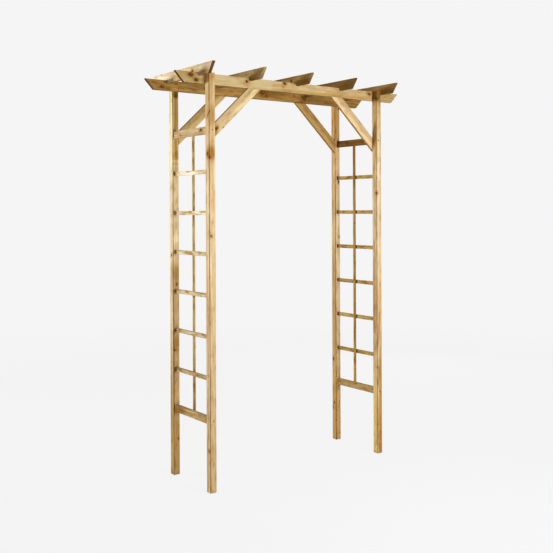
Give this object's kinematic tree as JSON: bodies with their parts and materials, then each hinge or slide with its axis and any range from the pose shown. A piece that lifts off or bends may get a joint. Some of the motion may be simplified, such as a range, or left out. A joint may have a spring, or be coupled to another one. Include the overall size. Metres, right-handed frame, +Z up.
{
  "type": "garden arch",
  "caption": "Free-standing timber garden arch: square posts, beams with angled ends, notched rafters, corner braces and ladder-like side panels for climbing plants.",
  "frame": {"origin": "on the ground, at the centre of the posts", "axes": "+Z up, X across the passage, Y through the passage; -Y is the near face and -X the left side"},
  "size_m": [1.584, 0.631, 2.242],
  "materials": {
    "post_pine": "planed pine, unpainted, knotty, eased edges",
    "beam_pine": "planed pine, unpainted, knotty, eased edges",
    "rafter_pine": "planed pine, unpainted, knotty, eased edges",
    "brace_pine": "planed pine, unpainted, knotty, eased edges",
    "rail_pine": "planed pine, unpainted, knotty, eased edges",
    "rung_pine": "planed pine, unpainted, knotty, eased edges",
    "batten_pine": "planed pine, unpainted, knotty, eased edges",
    "screw_steel": "yellow zinc plated, dull"
  },
  "bodies": {
    "root": {"batten_left": "batten_pine", "batten_right": "batten_pine", "beam_far": "beam_pine", "beam_near": "beam_pine", "beam_screw_far_left_lower": "screw_steel", "beam_screw_far_left_upper": "screw_steel", "beam_screw_far_right_lower": "screw_steel", "beam_screw_far_right_upper": "screw_steel", "beam_screw_near_left_lower": "screw_steel", "beam_screw_near_left_upper": "screw_steel", "beam_screw_near_right_lower": "screw_steel", "beam_screw_near_right_upper": "screw_steel", "brace_far_left": "brace_pine", "brace_far_right": "brace_pine", "brace_near_left": "brace_pine", "brace_near_right": "brace_pine", "brace_screw_far_left_foot": "screw_steel", "brace_screw_far_left_head": "screw_steel", "brace_screw_far_right_foot": "screw_steel", "brace_screw_far_right_head": "screw_steel", "brace_screw_near_left_foot": "screw_steel", "brace_screw_near_left_head": "screw_steel", "brace_screw_near_right_foot": "screw_steel", "brace_screw_near_right_head": "screw_steel", "post_far_left": "post_pine", "post_far_right": "post_pine", "post_near_left": "post_pine", "post_near_right": "post_pine", "rafter_1": "rafter_pine", "rafter_2": "rafter_pine", "rafter_3": "rafter_pine", "rafter_4": "rafter_pine", "rafter_5": "rafter_pine", "rail_bottom_left": "rail_pine", "rail_bottom_right": "rail_pine", "rail_screw_far_left_bottom": "screw_steel", "rail_screw_far_left_top": "screw_steel", "rail_screw_far_right_bottom": "screw_steel", "rail_screw_far_right_top": "screw_steel", "rail_screw_near_left_bottom": "screw_steel", "rail_screw_near_left_top": "screw_steel", "rail_screw_near_right_bottom": "screw_steel", "rail_screw_near_right_top": "screw_steel", "rail_top_left": "rail_pine", "rail_top_right": "rail_pine", "rung_left_1": "rung_pine", "rung_left_2": "rung_pine", "rung_left_3": "rung_pine", "rung_left_4": "rung_pine", "rung_left_5": "rung_pine", "rung_left_6": "rung_pine", "rung_right_1": "rung_pine", "rung_right_2": "rung_pine", "rung_right_3": "rung_pine", "rung_right_4": "rung_pine", "rung_right_5": "rung_pine", "rung_right_6": "rung_pine"}
  },
  "joints": []
}
